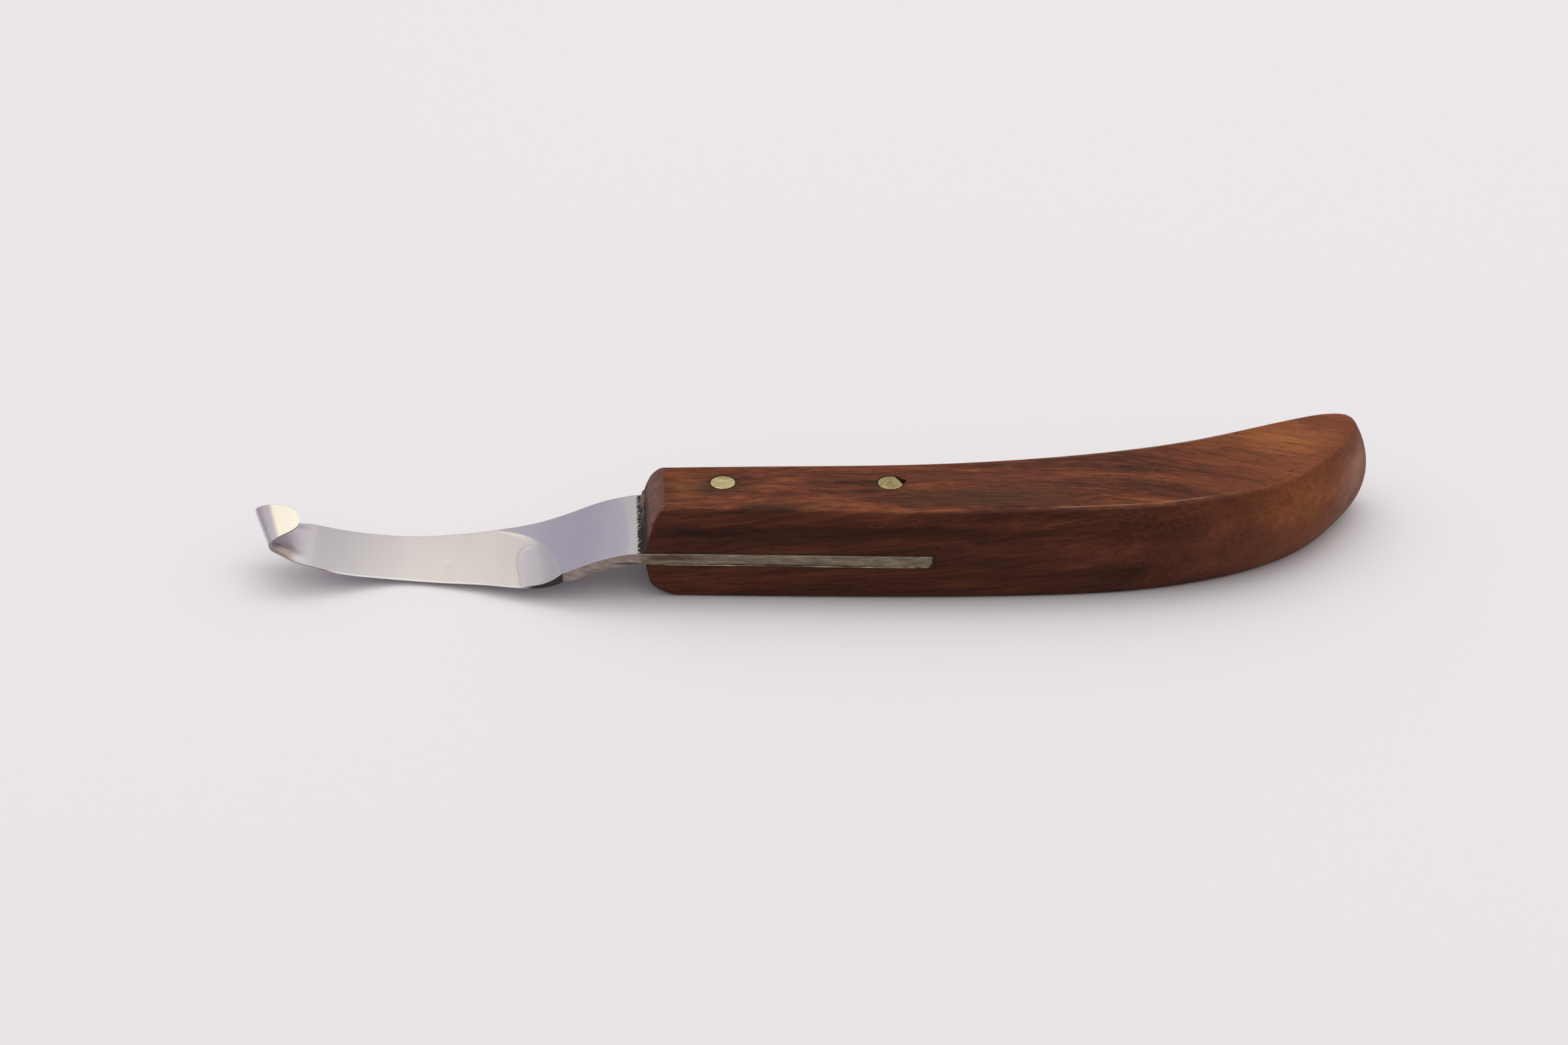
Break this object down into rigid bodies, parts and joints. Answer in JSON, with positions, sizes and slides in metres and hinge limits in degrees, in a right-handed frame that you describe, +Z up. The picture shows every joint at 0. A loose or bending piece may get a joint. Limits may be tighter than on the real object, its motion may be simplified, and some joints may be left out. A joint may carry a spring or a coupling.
{
  "type": "hook knife",
  "caption": "Fixed hook knife: a cranked, hollow-ground steel blade with its tip rolled into a small hook, glued and pinned in a curved one-piece wooden handle.",
  "frame": {"origin": "on the handle's lower flat face, midway between the two pins", "axes": "+X from the hook towards the butt, +Y from the cutting edge towards the spine, +Z up from the face it rests on"},
  "size_m": [0.214, 0.0436, 0.019],
  "materials": {
    "handle_wood": "oiled hardwood, satin",
    "blade_steel": "ground and satin polished",
    "pin_brass": "filed flush, dull",
    "adhesive_resin": "set dark resin"
  },
  "bodies": {
    "root": {"handle": "handle_wood", "blade": "blade_steel", "front_pin": "pin_brass", "rear_pin": "pin_brass", "adhesive": "adhesive_resin"}
  },
  "joints": []
}
